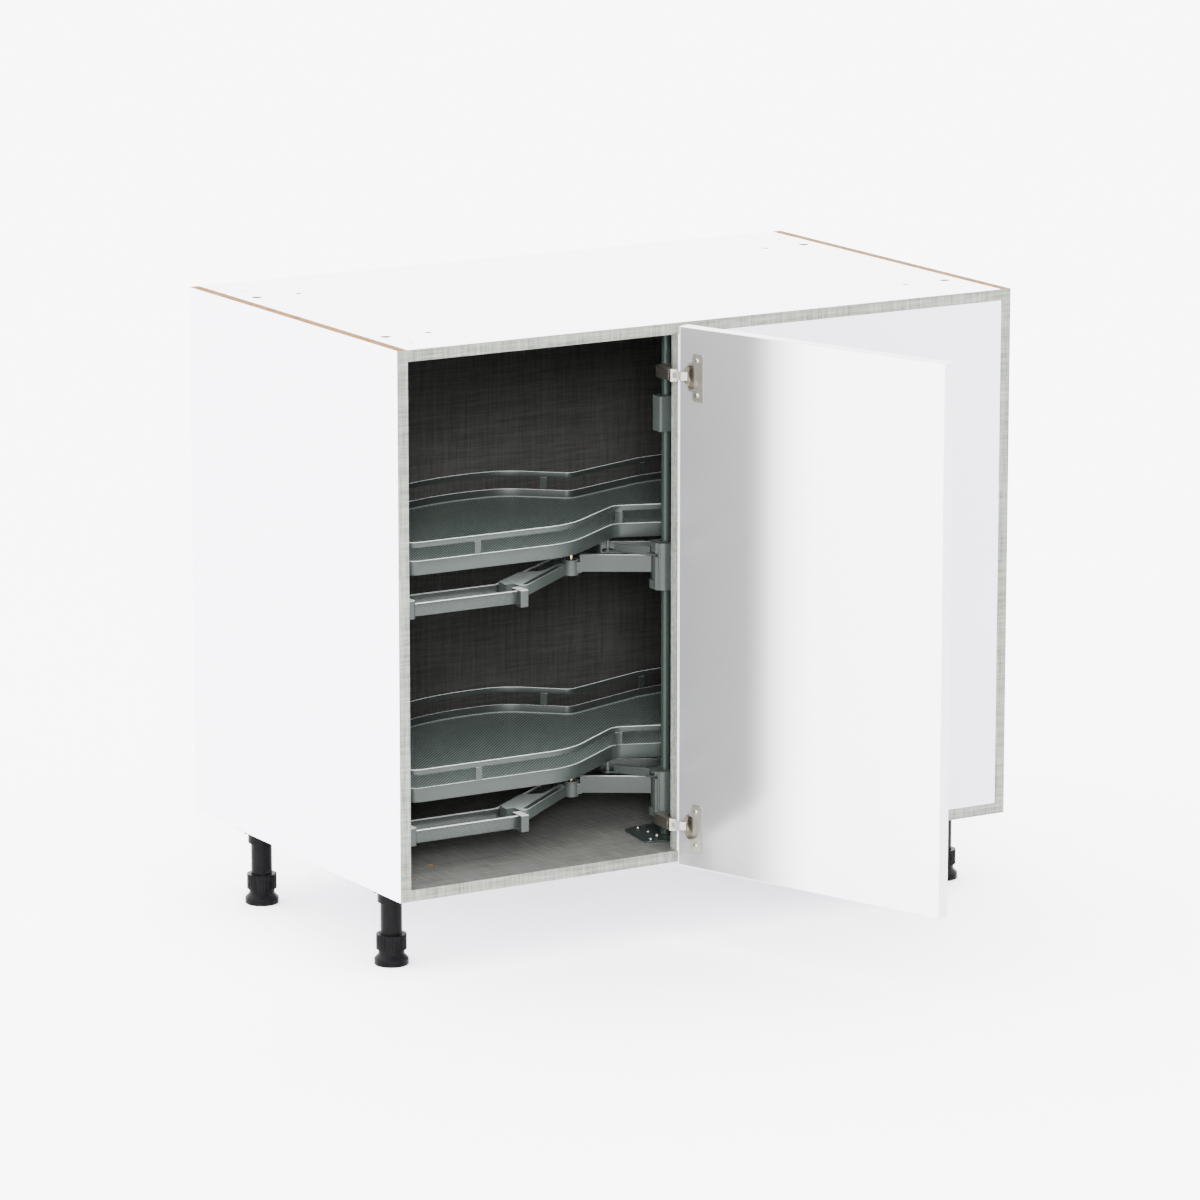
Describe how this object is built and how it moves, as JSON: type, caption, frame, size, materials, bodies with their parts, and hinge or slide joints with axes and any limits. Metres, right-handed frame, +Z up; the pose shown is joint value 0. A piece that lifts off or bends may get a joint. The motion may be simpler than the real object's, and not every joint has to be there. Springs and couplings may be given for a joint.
{
  "type": "blind corner base cabinet",
  "caption": "Blind corner base cabinet on levelling legs, with a hinged door beside a fixed panel and kidney-shaped trays that swing out on a vertical post.",
  "frame": {"origin": "bottom centre of the whole's box with the door standing open, on the floor under the feet", "axes": "+X to the right seen from the front, +Y from the door side to the back, +Z up"},
  "size_m": [0.99, 1.053, 0.876],
  "materials": {
    "white_board": "satin white foil on chipboard",
    "linen_board": "matt linen-look foil",
    "back_board": "matt dark linen-look foil",
    "linen_edge": "matt linen-look edging",
    "door_white": "high gloss white",
    "door_edge": "gloss white edging",
    "zinc": "zinc plated",
    "nickel": "nickel plated",
    "beech": "plain",
    "black_plastic": "moulded",
    "post_paint": "fine powder coat",
    "tray_paint": "satin powder coat",
    "hub_plastic": "moulded",
    "bright_metal": "satin",
    "brass": "turned",
    "tray_board": "matt foil",
    "mat": "fine dot pattern"
  },
  "bodies": {
    "carcass": {"left_side_panel": "white_board", "right_side_panel": "white_board", "top_panel": "white_board", "bottom_panel": "linen_board", "back_panel": "back_board", "blind_panel": "white_board", "front_edge_bands": "linen_edge", "cam_locks": "zinc", "cam_bolts": "zinc", "dowels": "beech", "hinge_arms": "nickel", "hinge_plates": "nickel", "board_screws": "zinc", "leg_sockets": "black_plastic", "leg_tubes": "black_plastic", "post": "post_paint", "post_base_plate": "post_paint", "post_top_plate": "post_paint", "post_clip": "hub_plastic", "hub_pins": "zinc", "lower_hub_block": "hub_plastic", "upper_hub_block": "hub_plastic"},
    "door": {"door_panel": "door_white", "door_edge_band": "door_edge", "hinge_cups": "nickel", "hinge_cup_screws": "nickel"},
    "front_left_foot": {"front_left_foot": "black_plastic"},
    "front_right_foot": {"front_right_foot": "black_plastic"},
    "rear_left_foot": {"rear_left_foot": "black_plastic"},
    "rear_right_foot": {"rear_right_foot": "black_plastic"},
    "lower_arm": {"lower_swing_arm": "tray_paint"},
    "lower_link": {"lower_control_link": "post_paint"},
    "lower_tray": {"lower_pivot_channel": "hub_plastic", "lower_pivot_pin": "brass", "lower_rail_socket": "bright_metal", "lower_carrier_rails": "bright_metal", "lower_rail_clamp": "hub_plastic", "lower_tray_supports": "hub_plastic", "lower_tray_floor": "tray_board", "lower_tray_mat": "mat", "lower_tray_band": "tray_paint", "lower_tray_posts": "tray_paint", "lower_tray_rail": "tray_paint"},
    "upper_arm": {"upper_swing_arm": "tray_paint"},
    "upper_link": {"upper_control_link": "post_paint"},
    "upper_tray": {"upper_pivot_channel": "hub_plastic", "upper_pivot_pin": "brass", "upper_rail_socket": "bright_metal", "upper_carrier_rails": "bright_metal", "upper_rail_clamp": "hub_plastic", "upper_tray_supports": "hub_plastic", "upper_tray_floor": "tray_board", "upper_tray_mat": "mat", "upper_tray_band": "tray_paint", "upper_tray_posts": "tray_paint", "upper_tray_rail": "tray_paint"},
    "lower_hinge_swing": {"lower_hinge_link": "nickel"},
    "upper_hinge_swing": {"upper_hinge_link": "nickel"}
  },
  "joints": [
    {"name": "door_hinge", "type": "hinge", "parent": "upper_hinge_swing", "child": "door", "pos_m": [-0.05829, -0.10569, 0.806], "axis": [0, 0, 1], "range_deg": [-175.87, 0]},
    {"name": "lower_hinge_link_turn", "type": "hinge", "parent": "carcass", "child": "lower_hinge_swing", "pos_m": [-0.071, -0.08753, 0.172], "axis": [0, 0, 1], "range_deg": [0, 66.87]},
    {"name": "upper_hinge_link_turn", "type": "hinge", "parent": "carcass", "child": "upper_hinge_swing", "pos_m": [-0.071, -0.08753, 0.806], "axis": [0, 0, 1], "range_deg": [0, 66.87]},
    {"name": "front_left_foot_screw", "type": "slide", "parent": "carcass", "child": "front_left_foot", "axis": [0, 0, 1], "range_m": [-0.02, 0.01]},
    {"name": "front_right_foot_screw", "type": "slide", "parent": "carcass", "child": "front_right_foot", "axis": [0, 0, 1], "range_m": [-0.02, 0.01]},
    {"name": "rear_left_foot_screw", "type": "slide", "parent": "carcass", "child": "rear_left_foot", "axis": [0, 0, 1], "range_m": [-0.02, 0.01]},
    {"name": "rear_right_foot_screw", "type": "slide", "parent": "carcass", "child": "rear_right_foot", "axis": [0, 0, 1], "range_m": [-0.02, 0.01]},
    {"name": "lower_arm_swing", "type": "hinge", "parent": "carcass", "child": "lower_arm", "pos_m": [-0.035, 0.01347, 0.215], "axis": [0, 0, 1], "range_deg": [0, 58]},
    {"name": "lower_tray_turn", "type": "hinge", "parent": "lower_arm", "child": "lower_tray", "pos_m": [-0.13503, 0.07549, 0.215], "axis": [0, 0, 1], "range_deg": [0, 17.5]},
    {"name": "lower_link_turn", "type": "hinge", "parent": "carcass", "child": "lower_link", "pos_m": [-0.03732, -0.0009, 0.215], "axis": [0, 0, 1], "range_deg": [0, 46.5]},
    {"name": "upper_arm_swing", "type": "hinge", "parent": "carcass", "child": "upper_arm", "pos_m": [-0.035, 0.01347, 0.5325], "axis": [0, 0, 1], "range_deg": [0, 58]},
    {"name": "upper_tray_turn", "type": "hinge", "parent": "upper_arm", "child": "upper_tray", "pos_m": [-0.13503, 0.07549, 0.5325], "axis": [0, 0, 1], "range_deg": [0, 17.5]},
    {"name": "upper_link_turn", "type": "hinge", "parent": "carcass", "child": "upper_link", "pos_m": [-0.03732, -0.0009, 0.5325], "axis": [0, 0, 1], "range_deg": [0, 46.5]}
  ],
  "couplings": [
    {"joint": "lower_hinge_link_turn", "follows": "door_hinge", "ratio": -0.38024},
    {"joint": "upper_hinge_link_turn", "follows": "door_hinge", "ratio": -0.38024},
    {"joint": "lower_tray_turn", "follows": "lower_arm_swing", "ratio": 0.3},
    {"joint": "lower_link_turn", "follows": "lower_arm_swing", "ratio": 0.795},
    {"joint": "upper_tray_turn", "follows": "upper_arm_swing", "ratio": 0.3},
    {"joint": "upper_link_turn", "follows": "upper_arm_swing", "ratio": 0.795}
  ]
}
